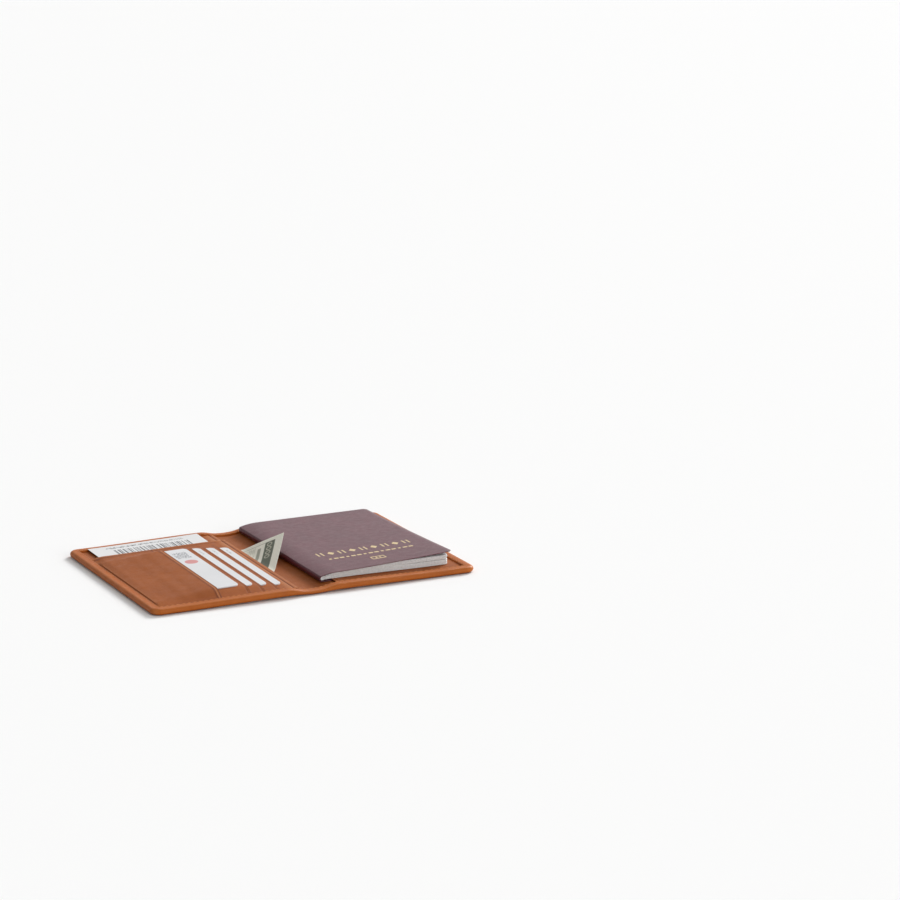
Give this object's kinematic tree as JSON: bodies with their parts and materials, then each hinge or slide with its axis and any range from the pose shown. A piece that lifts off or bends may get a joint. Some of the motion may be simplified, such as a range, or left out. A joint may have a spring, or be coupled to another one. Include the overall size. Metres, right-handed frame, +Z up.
{
  "type": "travel document organizer",
  "caption": "Open bifold leather travel document organizer: passport sleeve on one half, card slots, paper pocket and banknote compartment on the other.",
  "frame": {"origin": "centre of the open organizer's footprint, on the surface it lies on", "axes": "+X from the card half to the passport half, +Y along the spine from the near edge to the back edge, +Z up"},
  "size_m": [0.2098, 0.1456, 0.0161],
  "materials": {
    "cover_leather": "smooth tan leather with a soft gloss",
    "inner_leather": "fine-grained matte tan leather",
    "lining_leather": "thin matte split leather",
    "stiffener_board": "grey bookbinding board",
    "card_plastic": "satin laminated card",
    "pass_paper": "printed thermal paper",
    "banknote_paper": "cotton paper with a printed pattern",
    "booklet_cover": "maroon grained book cloth with a sheen",
    "booklet_paper": "pale uncoated paper"
  },
  "bodies": {
    "right_panel": {"outer_cover_right": "cover_leather", "rolled_rim_right": "cover_leather", "stiffener_right": "stiffener_board", "lining_right": "lining_leather", "passport_sleeve": "inner_leather"},
    "spine": {"outer_cover_spine": "cover_leather", "spine_hem_front": "cover_leather", "spine_hem_back": "cover_leather", "lining_spine": "lining_leather"},
    "left_panel": {"outer_cover_left": "cover_leather", "rolled_rim_left": "cover_leather", "stiffener_left": "stiffener_board", "lining_left": "lining_leather", "banknote_pocket": "inner_leather", "pass_pocket": "inner_leather", "card_slot_4": "inner_leather", "card_slot_3": "inner_leather", "card_slot_2": "inner_leather", "top_card_pocket": "inner_leather"},
    "card_1": {"card_1": "card_plastic"},
    "card_2": {"card_2": "card_plastic"},
    "card_3": {"card_3": "card_plastic"},
    "card_4": {"card_4": "card_plastic"},
    "boarding_pass": {"boarding_pass": "pass_paper"},
    "banknote": {"banknote": "banknote_paper"},
    "passport": {"passport_back_cover": "booklet_cover", "passport_spine": "booklet_cover", "passport_pages": "booklet_paper"},
    "passport_cover": {"passport_front_cover": "booklet_cover"}
  },
  "joints": [
    {"name": "spine_fold", "type": "hinge", "parent": "right_panel", "child": "spine", "pos_m": [0.0066, 0, 0.001], "axis": [0, 1, 0], "range_deg": [0, 90]},
    {"name": "left_fold", "type": "hinge", "parent": "spine", "child": "left_panel", "pos_m": [-0.0096, 0, 0.001], "axis": [0, 1, 0], "range_deg": [0, 90]},
    {"name": "banknote_tuck", "type": "hinge", "parent": "left_panel", "child": "banknote", "pos_m": [-0.044, -0.0397, 0.0022], "axis": [0, 0, 1], "range_deg": [0, 36.6], "deforming": ["banknote"]},
    {"name": "card_1_slide", "type": "slide", "parent": "left_panel", "child": "card_1", "axis": [-1, 0, 0], "range_m": [-0.012, 0]},
    {"name": "card_2_slide", "type": "slide", "parent": "left_panel", "child": "card_2", "axis": [-1, 0, 0], "range_m": [-0.024, 0]},
    {"name": "card_3_slide", "type": "slide", "parent": "left_panel", "child": "card_3", "axis": [-1, 0, 0], "range_m": [-0.021, 0]},
    {"name": "card_4_slide", "type": "slide", "parent": "left_panel", "child": "card_4", "axis": [-1, 0, 0], "range_m": [-0.012, 0]},
    {"name": "boarding_pass_slide", "type": "slide", "parent": "left_panel", "child": "boarding_pass", "axis": [0, -1, -0.0098], "range_m": [-0.11, 0]},
    {"name": "passport_slide", "type": "slide", "parent": "right_panel", "child": "passport", "axis": [1, 0, 0], "range_m": [-0.0015, 0.0033]},
    {"name": "passport_opening", "type": "hinge", "parent": "passport", "child": "passport_cover", "pos_m": [0.0073, 0, 0.00768], "axis": [0, 1, 0], "range_deg": [-50, 0]}
  ],
  "couplings": [
    {"joint": "left_fold", "follows": "spine_fold", "ratio": 1},
    {"joint": "banknote_tuck", "follows": "spine_fold", "ratio": 0.4066}
  ]
}
